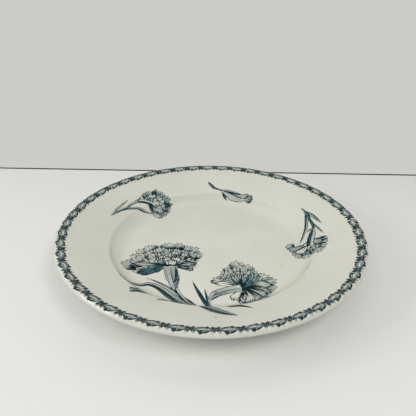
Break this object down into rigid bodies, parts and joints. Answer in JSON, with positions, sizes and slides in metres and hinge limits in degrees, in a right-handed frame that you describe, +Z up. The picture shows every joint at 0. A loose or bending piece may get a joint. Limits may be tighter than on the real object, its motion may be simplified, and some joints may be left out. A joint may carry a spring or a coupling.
{
  "type": "dinner plate",
  "caption": "Flat dinner plate in glazed earthenware: shallow round well, broad sloping rim, foot ring, printed carnation sprays and a leafy border.",
  "frame": {"origin": "centre of the foot ring, on the surface that the plate stands on", "axes": "+Z up out of the well along the axis of the plate, -Y towards the diner at the root of the large spray, +X to the diner's right"},
  "size_m": [0.24, 0.24, 0.0263],
  "materials": {
    "biscuit_clay": "bare fired clay, matt",
    "cream_glaze": "clear lead-type glaze over a cream body, glossy",
    "teal_print": "dark teal print under the same glaze, glossy"
  },
  "bodies": {
    "root": {"fired_body": "biscuit_clay", "glaze_coat": "cream_glaze", "foot_recess_glaze": "cream_glaze", "border_strip_back": "teal_print", "border_strip_front": "teal_print", "centre_spray_print": "teal_print", "left_sprig_print": "teal_print", "right_sprig_print": "teal_print", "single_bud_print": "teal_print"}
  },
  "joints": []
}
